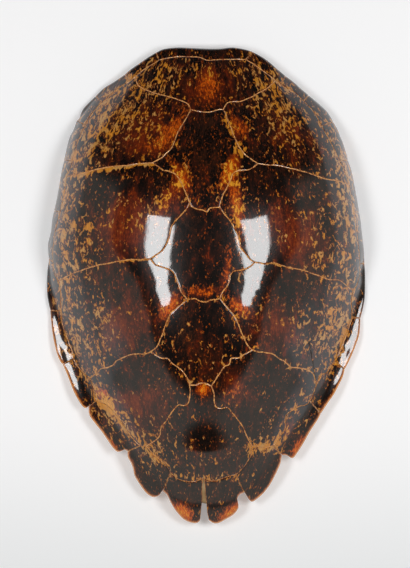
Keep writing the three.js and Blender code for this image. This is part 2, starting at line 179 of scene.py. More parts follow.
rightSeams = {
    "v1c1": [(103, 307), (97, 300), (87, 291), (77, 285), (65, 279), (51, 273), (38, 272), (30, 269),
        (25, 260)],
    "v2c1": [(25, 260), (30, 251), (34, 239), (39, 226), (44, 215), (48, 205), (55, 194), (60, 189),
        (76, 178)],
    "v2c2": [(76, 178), (70, 173), (60, 169), (47, 168), (39, 163), (35, 153), (31, 143), (25, 132),
        (21, 122), (20, 114)],
    "v3c2": [(20, 114), (27, 103), (34, 95), (41, 84), (46, 75), (49, 63), (50, 55), (58, 46), (64, 38),
        (71, 34)],
    "v3c3": [(71, 34), (66, 28), (58, 24), (49, 22), (41, 21), (35, 15), (34, 8), (31, 0), (24, -9),
        (20, -18)],
    "v4c3": [(20, -18), (27, -27), (35, -36), (41, -43), (46, -54), (50, -65), (56, -77), (61, -88),
        (67, -94)],
    "v4c4": [(67, -94), (55, -101), (48, -106), (37, -106), (34, -115), (26, -119), (20, -128), (15, -136),
        (8, -147)],
    "v5c4": [(8, -147), (12, -158), (12, -170), (15, -178), (23, -180), (31, -179), (38, -187), (45, -195),
        (51, -204), (57, -216), (63, -228), (68, -238)],
    "c1c2": [(76, 178), (93, 177), (109, 175), (123, 172), (138, 169), (153, 165), (168, 160), (178, 157),
        (195, 155), (213, 150)],
    "c2c3": [(71, 34), (86, 32), (99, 33), (109, 30), (123, 27), (138, 23), (152, 19), (168, 14), (183, 9),
        (198, 7), (206, 2), (220, -8)],
    "c3c4": [(67, -94), (75, -97), (86, -98), (98, -101), (107, -107), (116, -111), (121, -116), (126, -120),
        (138, -122), (149, -125), (157, -129), (162, -136), (164, -149)],
    "edge": [  # one row for each marginal plate, which starts where the last one ended
        [(59, 338), (79, 325), (103, 307), (111, 300)],
        [(121, 294), (132, 288), (146, 275)],
        [(159, 261), (166, 250), (172, 237)],
        [(186, 212), (199, 185)],
        [(207, 169), (213, 150), (220, 109)],
        [(226, 68), (230, 32)],
        [(229, 13), (225, 0), (220, -8), (218, -20), (218, -48)],
        [(213, -66), (203, -90), (193, -112)],
        [(180, -130), (172, -133), (164, -149), (155, -172)],
        [(148, -178), (138, -180), (127, -186), (119, -194), (118, -211), (110, -225), (100, -238)],
        [(84, -240), (68, -238), (67, -252), (55, -270), (44, -281)],
    ],
}
sideSeams = {"left": leftSeams, "right": rightSeams}

# The free edge of each marginal plate from head to tail, and of the supracaudal plate after them. Each row
# starts where the last one ended.
leftRims = [
    [(-75, 349), (-88, 341), (-101, 332), (-114, 323), (-122, 316)],
    [(-138, 305), (-153, 296), (-166, 284)],
    [(-181, 269), (-187, 260), (-190, 251), (-194, 247)],
    [(-199, 233), (-204, 224), (-208, 211), (-211, 197), (-213, 188)],
    [(-217, 170), (-223, 134), (-228, 112)],
    [(-231, 98), (-233, 80), (-237, 64), (-237, 50), (-236, 40)],
    [(-238, 23), (-239, 1), (-238, -17), (-234, -37)],
    [(-231, -67), (-225, -97), (-219, -113), (-215, -118)],
    [(-209, -131), (-204, -144), (-198, -159), (-191, -172), (-185, -181), (-180, -184), (-176, -181)],
    [(-175, -193), (-168, -204), (-156, -219), (-147, -232), (-140, -242), (-133, -249), (-128, -248),
        (-122, -245), (-118, -248)],
    [(-117, -257), (-112, -266), (-109, -275), (-107, -285), (-99, -298), (-92, -308), (-84, -315),
        (-77, -317), (-70, -314), (-67, -309), (-65, -308)],
    [(-59, -312), (-55, -320), (-50, -330), (-42, -341), (-32, -351), (-19, -356), (-11, -355), (-8, -350)],
]
rightRims = [
    [(70, 350), (86, 341), (98, 332), (108, 323), (119, 314)],
    [(131, 305), (141, 296), (154, 285)],
    [(173, 269), (182, 260), (188, 251), (191, 245)],
    [(198, 233), (201, 224), (205, 215), (211, 197), (213, 188)],
    [(219, 170), (226, 134), (230, 110)],
    [(232, 98), (235, 71), (237, 53), (238, 34)],
    [(239, 17), (239, -10), (237, -28), (232, -49)],
    [(230, -73), (224, -91), (217, -108), (208, -126)],
    [(205, -137), (198, -151), (191, -164), (183, -175), (172, -192)],
    [(166, -203), (156, -218), (146, -236), (137, -250), (131, -258), (127, -258), (121, -254), (114, -254)],
    [(113, -259), (111, -268), (104, -283), (96, -298), (86, -311), (77, -319), (69, -324), (64, -320),
        (60, -313), (58, -310)],
    [(50, -313), (47, -320), (49, -327), (48, -335), (40, -344), (30, -350), (19, -356), (11, -356),
        (4, -351)],
]
rimEdges = {"left": leftRims, "right": rightRims}
nuchalRim = [(-75, 349), (-63, 354), (-42, 356), (-20, 355), (0, 354), (20, 354), (40, 356), (60, 353),
    (70, 350)]


noise.seed_set(5)  # without it the drift is different each time
drift = [(17, 3.1, 1.1), (6, 8.7, 0.45)]  # size of the waves, place in the noise, amount


def wander(p):  # the same small drift for every seam, so that they still meet
    x, y = p
    for size, slice, amount in drift:
        shift = noise.noise_vector(Vector((p[0] / size, p[1] / size, slice)))
        x, y = x + amount * shift.x, y + amount * shift.y
    return x, y


def curveThrough(points, step=2.5):  # smooth curve that keeps its own points
    pts = [np.array(p, float) for p in points]
    pts = [2 * pts[0] - pts[1]] + pts + [2 * pts[-1] - pts[-2]]
    out = []
    for p0, p1, p2, p3 in zip(pts, pts[1:], pts[2:], pts[3:]):
        count = max(1, round(np.linalg.norm(p2 - p1) / step))
        for k in range(count):
            s = k / count
            out.append(tuple(0.5 * (2 * p1 + (p2 - p0) * s + (2 * p0 - 5 * p1 + 4 * p2 - p3) * s**2
                                    + (3 * p1 - p0 - 3 * p2 + p3) * s**3)))
    out.append(tuple(pts[-2]))
    return out


def stretch(points, start, end):  # the part of a curve between two of its own points
    def find(p):
        return min(range(len(points)), key=lambda i: math.dist(points[i], p))

    return points[find(start):find(end) + 1]


def joined(*parts):  # one outline, without the points where two parts meet twice
    out, same = [], 0.4
    for part in parts:
        for p in part:
            if not out or math.dist(out[-1], p) > same:
                out.append(p)
    return out[:-1] if math.dist(out[0], out[-1]) < same else out


# Flattens the dome about its highest point and puts it back, so that grids keep their size on steep walls.
spokeCount, ringCount, rollShare = 720, 240, 0.99
spokeAngles = np.linspace(-math.pi, math.pi, spokeCount + 1)
rollReach = rollShare * girthReach(tailTurn(np.cos(spokeAngles), dome["apexY"] + np.sin(spokeAngles)))
rollRings = rollReach[:, None] * np.linspace(0, 1, ringCount + 1)[None, :]
rollHeights = outerHeight(np.cos(spokeAngles)[:, None] * rollRings,
                          dome["apexY"] + np.sin(spokeAngles)[:, None] * rollRings)
rollSteps = np.hypot(np.diff(rollRings, axis=1), np.diff(rollHeights, axis=1))
arcs = np.concatenate([np.zeros((spokeCount + 1, 1)), np.cumsum(rollSteps, axis=1)], axis=1)
arcEnds = arcs[:, -1]
ringAtArc = np.array([np.interp(np.linspace(0, row[-1], ringCount + 1), row, rings)
                      for row, rings in zip(arcs, rollRings)])


def lookUp(table, angle, share):  # between the four nearest values
    a = (angle + math.pi) / (2 * math.pi) * spokeCount
    i = np.clip(np.floor(a).astype(int), 0, spokeCount - 1)
    s = np.clip(share, 0, 1) * ringCount
    j = np.clip(np.floor(s).astype(int), 0, ringCount - 1)
    fa, fs = a - i, s - j
    return ((1 - fa) * ((1 - fs) * table[i, j] + fs * table[i, j + 1])
            + fa * ((1 - fs) * table[i + 1, j] + fs * table[i + 1, j + 1]))


def flattened(x, y):  # from the plan to the flat sheet
    x, y = np.asarray(x, float), np.asarray(y, float) - dome["apexY"]
    angle, reach = np.arctan2(y, x), np.hypot(x, y)
    arc = lookUp(arcs, angle, reach / np.interp(angle, spokeAngles, rollReach))
    return arc * np.cos(angle), arc * np.sin(angle)


def rolled(x, y):  # and back
    angle, arc = np.arctan2(y, x), np.hypot(x, y)
    reach = lookUp(ringAtArc, angle, arc / np.interp(angle, spokeAngles, arcEnds))
    return reach * np.cos(angle), dome["apexY"] + reach * np.sin(angle)


# Surface detail that every plate shares
relief = {
    "edgeRadius": 0.7,  # rounding of a plate's edge at a seam
    "seamGap": 0.2,  # half of the clear gap between two plates
    "pillow": 0.3,  # how far a plate's middle stands above its edges
    "pillowReach": 7.0,
    "thickness": 2.2,
    "backRound": 0.3,  # share of the edge radius by which a plate's inner face lies deeper
    "ringSteps": [0.22, 0.28, 0.4, 0.6, 0.9],  # rings of faces along a seam; the first is the open gap
    "gridSize": 3.6,
    "gridSnap": 0.3,
    "swell": 0.3,  # slow waves of the polished surface
    "swellSize": 85.0,
    "slices": (1.7, 5.2),  # places in the noise of the waves and of the ridges
    "grainSwell": 0.11,  # shallow ridges along the growth lines
    "grainWidth": 13.0,
    "grainLength": 85.0,
    "tailSwell": (-3, -244, 46, 33, 5.0),  # on the last plate of the back: place, reach, height
}


def swell(x, y):  # how far the surface rises and falls about the plain dome
    size, width, length = relief["swellSize"], relief["grainWidth"], relief["grainLength"]
    waveSlice, ridgeSlice = relief["slices"]
    across = grainAt(x, y, x)[:, 0]
    waves = np.array([relief["swell"] * noise.noise(Vector((a / size, b / size, waveSlice)))
                      + relief["grainSwell"] * noise.noise(Vector((g / width, b / length, ridgeSlice)))
                      for a, b, g in zip(x, y, across)])
    tailX, tailY, reachX, reachY, height = relief["tailSwell"]
    return waves + height * np.exp(-((x - tailX) / reachX) ** 2 - ((y - tailY) / reachY) ** 2)


def edgeDrop(distance):  # quarter round at the seam and a soft pillow inside it
    r = relief["edgeRadius"]
    inside = np.clip(distance, 0, r)
    quarter = r - np.sqrt(np.maximum(0, r * r - (r - inside) ** 2))
    return quarter + relief["pillow"] * np.exp(-distance / relief["pillowReach"])


def squareTo(x, y):  # the outward direction of the dome
    step = 0.5
    sx = (outerHeight(x + step, y) - outerHeight(x - step, y)) / (2 * step)
    sy = (outerHeight(x, y + step) - outerHeight(x, y - step)) / (2 * step)
    n = np.stack([-sx, -sy, np.ones_like(sx)], axis=-1)
    return n / np.linalg.norm(n, axis=-1, keepdims=True)


def placed(name, data):
    thing = bpy.data.objects.new(name, data)
    bpy.context.scene.collection.objects.link(thing)
    return thing


def finishPiece(name, bm, positions, values, material, node):
    for v, p in zip(bm.verts, positions):
        v.co = Vector(p) * mm
    bmesh.ops.triangulate(bm, faces=[f for f in bm.faces if len(f.verts) > 4])
    bmesh.ops.recalc_face_normals(bm, faces=bm.faces)
    mesh = bpy.data.meshes.new(name)
    bm.to_mesh(mesh)
    bm.free()
    for key, value in values.items():
        if value.ndim == 1:
            mesh.attributes.new(key, "FLOAT", "POINT").data.foreach_set("value", value.astype(np.float32))
        else:
            layer = mesh.attributes.new(key, "FLOAT_VECTOR", "POINT")
            layer.data.foreach_set("vector", value.astype(np.float32).ravel())
    mesh.polygons.foreach_set("use_smooth", [True] * len(mesh.polygons))
    mesh.materials.append(material)
    piece = placed(name, mesh)
    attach(piece, "root")
    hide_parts(node)
    return piece


# Soft patches of the markings: x, y, half length, half width, degrees turned, strength
patches = {
    "fire": [  # clear orange, mostly beside the midline plates
        (3, 297, 30, 20, 88, 0.8), (-46, 232, 34, 12, 62, 0.8), (-82, 205, 22, 12, 20, 0.6),
        (-36, 160, 30, 9, 122, 0.9), (34, 168, 30, 10, 62, 1.0), (46, 234, 26, 14, -50, 0.8),
        (-54, 128, 44, 11, 62, 0.7), (45, 118, 52, 10, -81, 1.1), (-55, -32, 20, 11, 48, 1.1),
        (51, -33, 20, 11, -42, 1.0), (-4, -9, 26, 9, 0, 0.7), (31, 26, 26, 6, 82, 0.8),
        (-4, -152, 10, 10, 0, 1.3), (-155, -161, 13, 9, -45, 1.3), (-138, -185, 22, 9, -42, 0.7),
        (-66, 232, 12, 10, 40, 0.5), (40, -154, 16, 13, 30, 0.5), (70, -90, 20, 8, 20, 0.3),
        (-144, -238, 24, 7, -52, 0.9), (136, -243, 22, 8, 57, 1.0), (-35, -338, 18, 10, -35, 1.6),
        (38, -338, 22, 9, 38, 1.3), (120, -215, 18, 8, 60, 0.5)],
    "warm": [  # clouds of red-brown
        (-92, 225, 46, 34, 40, 0.9), (-124, 84, 56, 42, 60, 1.15), (-122, -56, 46, 36, 40, 1.0),
        (132, 72, 46, 36, -60, 1.15), (104, -62, 40, 34, -30, 0.9), (-110, -168, 50, 16, 12, 0.8),
        (36, -150, 20, 24, 0, 0.8), (120, 225, 44, 26, -40, 0.6), (-50, 130, 36, 16, 60, 0.8),
        (2, 292, 34, 50, 90, 0.7), (-8, 150, 50, 22, 90, 0.15), (4, 20, 60, 20, 90, 0.15),
        (0, -100, 40, 26, 90, 0.3), (-90, -200, 40, 30, 30, 0.6), (60, -150, 26, 20, -20, 0.4)],
    "flecks": [  # how thickly the amber flecks lie
        (-207, 98, 120, 22, 88, 0.85), (-196, -80, 80, 26, 98, 0.75), (209, 142, 150, 22, 92, 0.8),
        (195, -70, 66, 26, 80, 0.85), (-105, 303, 62, 30, 35, 0.55), (105, 299, 62, 32, -35, 0.5),
        (-60, 302, 40, 22, 25, 0.35), (-104, 230, 64, 46, 40, 0.55), (-160, 225, 60, 26, 66, 0.8),
        (118, 236, 64, 44, -42, 0.7), (-57, 131, 48, 15, 62, 0.7), (45, 117, 50, 14, -81, 0.8),
        (-36, 165, 30, 10, 122, 0.5), (36, 175, 34, 12, 62, 0.7), (36, 232, 34, 10, -62, 0.7),
        (2, 320, 70, 14, 0, 0.6), (-170, 60, 60, 22, 86, 0.45), (168, 60, 70, 26, 92, 0.5),
        (-150, -60, 60, 26, 96, 0.5), (150, -70, 50, 30, 80, 0.55), (-66, -28, 24, 16, 40, 0.4),
        (60, -40, 24, 16, -40, 0.4), (0, -90, 60, 60, 0, 0.22), (-110, 100, 50, 40, 0, 0.3),
        (110, 100, 50, 40, 0, 0.3), (-130, -190, 60, 22, -45, 0.6), (130, -190, 50, 22, 45, 0.5),
        (-70, -250, 40, 20, 35, 0.6), (86, -238, 36, 14, 10, 1.1), (-150, -170, 36, 8, -60, 0.5),
        (-118, -212, 50, 7, -45, 0.4), (-72, -262, 30, 7, -40, 0.4), (-4, -240, 46, 36, 90, 0.3),
        (-140, -215, 34, 14, -50, 0.5), (0, -285, 60, 10, 0, 0.5)],
    "calm": [  # clear dark middles
        (0, 215, 50, 24, 90, 0.8), (-6, 62, 46, 26, 90, 0.8), (-8, -60, 30, 26, 90, 0.4),
        (-140, 140, 30, 18, 0, 0.4), (120, 140, 30, 18, 0, 0.4), (-110, 5, 44, 20, 0, 0.6),
        (105, 5, 40, 20, 0, 0.5), (-100, -122, 44, 16, 10, 0.7), (80, -130, 36, 20, -10, 0.6),
        (-2, -190, 30, 30, 0, 0.6), (0, 330, 40, 8, 0, 0.3)],
}
markings = {
    "strongest": 1.3,  # where patches overlap
    "calming": 0.6,  # how far a calm patch thins the flecks
    "seamFlecks": 0.3,  # more flecks beside a seam,
    "seamReach": 5.0,  # out to about here
    "grainMiddle": 20.0,  # the growth lines are widest apart here
    "grainReach": 420.0,  # and would meet this far from it
    "grainLeast": 0.3,
    "grainUp": 0.6,
}


def zoneStrength(kind, x, y):
    total = np.zeros_like(x)
    for px, py, long, wide, turned, strength in patches[kind]:
        c, s = math.cos(math.radians(turned)), math.sin(math.radians(turned))
        dx, dy = x - px, y - py
        total += strength * np.exp(-((dx * c + dy * s) / long) ** 2 - ((dy * c - dx * s) / wide) ** 2)
    return np.minimum(total, markings["strongest"])


def grainAt(x, y, z):  # across and along the growth lines, which run together at head and tail
    along = (y - markings["grainMiddle"]) / markings["grainReach"]
    spread = np.maximum(markings["grainLeast"], np.sqrt(np.maximum(0, 1 - along ** 2)))
    return np.stack([x / spread, y, z * markings["grainUp"]], axis=-1)


def colourValues(x, y, z, distance, fringe):
    turn = tailTurn(x, y)
    rimward = np.hypot(x, y - dome["apexY"]) / girthReach(turn)
    flecks = (zoneStrength("flecks", x, y) - markings["calming"] * zoneStrength("calm", x, y)
              + markings["seamFlecks"] * np.exp(-distance / markings["seamReach"]))
    return {
        "seam": distance,
        "grain": grainAt(x, y, z),
        "zones": np.stack([zoneStrength("fire", x, y), zoneStrength("warm", x, y), flecks], axis=-1),
        "place": np.stack([rimward, turn / 180, fringe], axis=-1),
    }


# Plates of the back and flanks: the outline is inset at its edge, gridded, thickened and laid over the dome.
def flatSheet(outline):
    bm = bmesh.new()
    inner = bm.faces.layers.int.new("inner")
    plate = bm.faces.new([bm.verts.new((x, y, 0)) for x, y in outline])
    for i, step in enumerate(relief["ringSteps"]):
        ring = bmesh.ops.inset_region(bm, faces=[plate], thickness=step, use_even_offset=True,
                                      use_boundary=True)
        if i == 0:  # the first ring is the open seam
            bmesh.ops.delete(bm, geom=ring["faces"], context="FACES")
    plate[inner] = 1
    size = relief["gridSize"]
    low = [min(v.co[axis] for v in plate.verts) for axis in (0, 1)]
    high = [max(v.co[axis] for v in plate.verts) for axis in (0, 1)]
    for axis in (0, 1):
        for k in range(math.ceil(low[axis] / size), math.floor(high[axis] / size) + 1):
            co, no = [0, 0, 0], [0, 0, 0]
            co[axis], no[axis] = k * size, 1
            near = [f for f in bm.faces if f[inner] and min(v.co[axis] for v in f.verts) < k * size
                    < max(v.co[axis] for v in f.verts)]
            verts = dict.fromkeys(v for f in near for v in f.verts)  # no sets, which change order each time
            edges = dict.fromkeys(e for f in near for e in f.edges)
            bmesh.ops.bisect_plane(bm, geom=[*verts, *edges, *near], plane_co=co, plane_no=no,
                                   dist=relief["gridSnap"])
    bmesh.ops.triangulate(bm, faces=[f for f in bm.faces if len(f.verts) > 4])
    return bm


def thickened(bm):  # a closed slab; the lower half is marked by its z
    geom = bmesh.ops.extrude_face_region(bm, geom=bm.faces[:])["geom"]
    bmesh.ops.translate(bm, verts=[g for g in geom if isinstance(g, bmesh.types.BMVert)], vec=(0, 0, -1))
    bmesh.ops.recalc_face_normals(bm, faces=bm.faces)
    return bm


def distanceTo(outline, x, y):  # from each place to the nearest side of a closed outline
    a = np.array(outline)
    b = np.roll(a, -1, axis=0)
    ab = b - a
    ap = np.stack([x, y], axis=-1)[:, None, :] - a[None]
    t = np.clip((ap * ab).sum(-1) / np.maximum((ab * ab).sum(-1), 1e-9), 0, 1)
    return np.sqrt(((ap - t[..., None] * ab) ** 2).sum(-1).min(axis=1))


def largePlate(name, outline, node, material, fringes):
    fx, fy = flattened(*np.array(outline).T)
    bm = thickened(flatSheet(list(zip(fx, fy))))
    co = np.array([v.co for v in bm.verts])
    outside = co[:, 2] > -0.5
    x, y = rolled(co[:, 0], co[:, 1])
    distance = np.maximum(0, distanceTo(list(zip(fx, fy)), co[:, 0], co[:, 1]) - relief["seamGap"])
    n = squareTo(x, y)
    base = np.stack([x, y, outerHeight(x, y)], axis=-1)
    lift = swell(x, y) - edgeDrop(distance)
    depth = np.where(outside, lift, -relief["thickness"] - relief["edgeRadius"] * relief["backRound"])
    positions = base + n * depth[:, None]
    fringe = np.zeros_like(x)
    for points, reach in fringes:
        ends = np.array(points + points[::-1])
        fringe = np.maximum(fringe, 1 - distanceTo(ends, x, y) / reach)
    values = colourValues(x, y, base[:, 2], distance, fringe)
    return finishPiece(name, bm, positions, values, material, node)


# Plates along the edge: a grid from the seam over the lip and back under the rim
rimPlate = {
    "lipRound": 3.0,  # how far the lip reaches out past the faces
    "lipRows": 10,
    "rimRow": 3,  # the row of the lip from which the worn edge is measured
    "hookRows": 6,
    "cell": 3.4,
    "softMax": 1.2,  # blend where the dome's face comes down to the lip's height
    "thickLip": 9.0,  # a lip taller than this is rounded above by a share of its height,
    "thickRound": 0.45,
    "thinRound": 3.2,  # and a lower one by this much;
    "underRound": 3.6,  # both are rounded by this much below
    "flatStart": 6.0,  # the slow waves fade out towards a seam from here
    "underDrop": 0.9,  # least depth and share of the seam grooves on the lip and the underside
    "underShare": 0.6,
    "backExtra": 0.3,
    "rimStep": 1.5,
    "notchStep": 2,
    "endPoints": 12,
}
farFromSeam = 99.0


def curveLength(points):
    return float(np.hypot(*np.diff(np.array(points, float), axis=0).T).sum())


def alongCurve(points, shares):
    pts = np.array(points, float)
    run = np.concatenate([[0], np.cumsum(np.hypot(*np.diff(pts, axis=0).T))])
    at = np.clip(shares, 0, 1) * run[-1]
    return np.stack([np.interp(at, run, pts[:, 0]), np.interp(at, run, pts[:, 1])], axis=-1)


def edgeSpacing(length, cell):  # close together at both ends, even between
    near = np.cumsum(relief["ringSteps"])
    count = max(2, round((length - 2 * near[-1]) / cell))
    middle = np.linspace(near[-1], length - near[-1], count + 1)[1:-1]
    return np.concatenate([near, middle, length - near[::-1]])


def brimHeight(x, y):
    top = eased(dome["rimLift"], tailTurn(x, y)) + dome["lipHeight"]
    h = outerHeight(x, y)
    return (h + top + np.hypot(h - top, rimPlate["softMax"])) / 2 - rimPlate["softMax"] / 4


def unit(vector):
    return vector / np.linalg.norm(vector)


def rows(count):
    return np.linspace(0, 1, count + 1)[1:]


def lipSection(slope, top, low):  # out and up, from the last point of the face to the underside
    height = top - low
    above = rimPlate["thickRound"] * height if height > rimPlate["thickLip"] else rimPlate["thinRound"]
    c0, c3 = np.array([0.0, top]), np.array([0.0, low])
    c1, c2 = c0 + slope * above, c3 + np.array([rimPlate["underRound"], 0.0])
    section = np.array([(1 - q)**3 * c0 + 3 * (1 - q)**2 * q * c1 + 3 * (1 - q) * q * q * c2 + q**3 * c3
                        for q in rows(rimPlate["lipRows"])])
    section[:, 0] *= rimPlate["lipRound"] / max(section[:, 0].max(), 0.1)
    return section


def edgePlate(name, seam, rim, sideA, sideB, node, material):
    width = (curveLength(seam) + curveLength(rim)) / 2
    shares = edgeSpacing(width, rimPlate["cell"]) / width
    whole, none = np.array([1.0]), np.array([0.0])

    def bend(side, inside, end):  # how far an end of the plate strays from a straight line
        return alongCurve(side, inside) - (np.array(seam[end])
                                           + (np.array(rim[end]) - seam[end]) * inside[:, None])

    def plan(share, t):  # share runs along the plate, t from the seam to the rim
        s, r = alongCurve(seam, share), alongCurve(rim, share)
        inside = np.clip(t, 0, 1)
        return (s + (r - s) * t[:, None] + (1 - share)[:, None] * bend(sideA, inside, 0)
                + share[:, None] * bend(sideB, inside, -1))

    # lengths of the face from the seam to the lip, along each column
    fine = np.linspace(0, 1, 90)
    runs = []
    for share in shares:
        one = np.array([share])
        reach = float(np.linalg.norm(plan(one, whole) - plan(one, none)))
        t = fine * (1 - rimPlate["lipRound"] / reach)
        p = plan(np.full_like(fine, share), t)
        steps = np.hypot(np.hypot(*np.diff(p, axis=0).T), np.diff(brimHeight(p[:, 0], p[:, 1])))
        runs.append((t, np.concatenate([[0], np.cumsum(steps)])))
    near = np.cumsum(relief["ringSteps"])
    meanRun = np.mean([run[-1] for _, run in runs])
    evenRows = max(2, round((meanRun - near[-1]) / rimPlate["cell"]))
    lipStart = len(near) + evenRows
    hookShares = rows(rimPlate["hookRows"])
    grid, fromSeam, fromEnd = [], [], []
    for share, (fineT, run) in zip(shares, runs):
        arc = np.concatenate([near, near[-1] + (run[-1] - near[-1]) * rows(evenRows)])
        t = np.interp(arc, run, fineT)
        # the distance from the ends is kept on every row, so borders keep the same width
        inside = np.clip(t, 0, 1)
        across = np.linalg.norm(alongCurve(sideA, inside) - alongCurve(sideB, inside), axis=-1)
        column = share * width
        f = np.where(column < near[-1] + 1e-6, column / across,
                     np.where(column > width - near[-1] - 1e-6, 1 - (width - column) / across, share))
        p = plan(f, t)
        z = brimHeight(p[:, 0], p[:, 1])
        turn = tailTurn(*p[-1])
        low = float(eased(dome["rimLift"], turn))
        way = unit(plan(f[-1:], whole)[0] - plan(f[-1:], none)[0])
        slope = unit(np.array([np.linalg.norm(p[-1] - p[-2]), z[-1] - z[-2]]))
        lip = lipSection(slope, z[-1], low)
        hook = max(dome["hookWidth"], float(eased(dome["solidEdge"], turn)) + dome["hookCover"])
        hookPlan = p[-1] - way * (hookShares * (hook - rimPlate["lipRound"]))[:, None]
        grid.append(np.concatenate([
            np.column_stack([p, z]),
            np.column_stack([p[-1] + way * lip[:, 0][:, None], lip[:, 1]]),
            np.column_stack([hookPlan, np.full(len(hookShares), low)])]))
        fromSeam.append(np.concatenate([arc, np.full(len(lip) + len(hookShares), farFromSeam)]))
        fromEnd.append(np.full(len(grid[-1]), np.minimum(column, width - column)))
    base = np.array(grid)
    distance = np.maximum(0, np.minimum(np.array(fromSeam), np.array(fromEnd)) - relief["seamGap"])
    n = np.cross(np.gradient(base, axis=0), np.gradient(base, axis=1))
    n /= np.maximum(np.linalg.norm(n, axis=-1, keepdims=True), 1e-9)
    if n[:, 2, 2].mean() < 0:
        n = -n
    lift = -edgeDrop(distance)
    waves = swell(base[..., 0].ravel(), base[..., 1].ravel()).reshape(lift.shape)
    lift = np.where(np.arange(base.shape[1])[None, :] < lipStart,
                    lift + waves * np.clip(distance / rimPlate["flatStart"], 0, 1),
                    np.maximum(lift, -rimPlate["underDrop"]) * rimPlate["underShare"])
    outer = base + n * lift[..., None]
    innerFace = base - n * (relief["thickness"] + rimPlate["backExtra"])
    bm = bmesh.new()
    columns, depths = base.shape[:2]
    bmesh.ops.create_grid(bm, x_segments=columns - 1, y_segments=depths - 1, size=1)
    thickened(bm)
    co = np.array([v.co for v in bm.verts])
    i = np.rint((co[:, 0] + 1) / 2 * (columns - 1)).astype(int)
    j = np.rint((co[:, 1] + 1) / 2 * (depths - 1)).astype(int)
    positions = np.where(co[:, 2:] > -0.5, outer[i, j], innerFace[i, j])
    flat = base[i, j]
    values = colourValues(*flat.T, distance[i, j], np.zeros(len(flat)))
    fromRim = np.linalg.norm(flat[:, :2] - base[i, lipStart + rimPlate["rimRow"]][:, :2], axis=-1)
    onLip = (j >= lipStart) & (j < lipStart + rimPlate["lipRows"])
    values["rim"] = np.where(onLip, 0.0, fromRim)
    return finishPiece(name, bm, positions, values, material, node)


# The bone: a profile spun round the highest point, then bent to the dome on every spoke
bone = {
    "spokes": 300,
    "outerRings": 14,
    "innerRings": 84,
    "wallRows": 10,
    "outerDepth": 3.2,  # under the horn's outer face
    "thickness": 6.0,
    "hornClearance": 1.2,
    "shoulder": 9.0,  # how far inside the bone's edge the dome-shaped part stops
    "edgeIn": 3.0,  # the rounded edge: distances in from the edge, and heights over the horn's
    "edgeTop": 4.2,  # underside
    "edgeHeight": 4.0,
    "soleIn": 2.0,
    "soleHeight": 3.3,
    "footIn": 8.0,  # the foot of the hollow's wall, in from the end of the horn
    "footHeight": 6.0,
    "wallStart": 1.0,
    "wallHeight": 8.0,
    "wallIn": 15.0,  # the top of that wall
    "wallDeep": 1.5,  # the bone is this much thicker there
    "deepPower": 8,
    "wallBulge": 2.5,
    "spineHeight": 7.0,
    "spineWidth": 12.0,
    "spineEnd": 310.0,
    "spineFade": 40.0,
    "ribHeight": 2.6,
    "ribWidth": 10.0,
    "ribPitch": 62.0,
    "ribStart": 20.0,  # the middle rib at the spine
    "ribLean": 0.12,  # the ribs turn away from here,
    "leanFrom": 30.0,
    "ribClear": 24.0,  # rise out of the spine over this width,
    "ribMiddle": 10.0,  # and fade this far from the middle
    "ribEnd": 300.0,
    "ribFade": 50.0,
}


def ribRelief(x, y):
    b = bone
    spine = (b["spineHeight"] * np.exp(-(x / b["spineWidth"]) ** 2)
             * np.clip((b["spineEnd"] - np.abs(y)) / b["spineFade"], 0, 1))
    lean = y - b["ribLean"] * np.abs(x) * np.sign(y - b["leanFrom"])
    phase = (lean - b["ribStart"]) / b["ribPitch"]
    rib = b["ribHeight"] * np.exp(-((phase - np.rint(phase)) * b["ribPitch"] / b["ribWidth"]) ** 2)
    ends = np.clip((b["ribEnd"] - np.abs(y - b["ribMiddle"])) / b["ribFade"], 0, 1)
    return spine + rib * np.clip(np.abs(x) / b["ribClear"], 0, 1) * ends


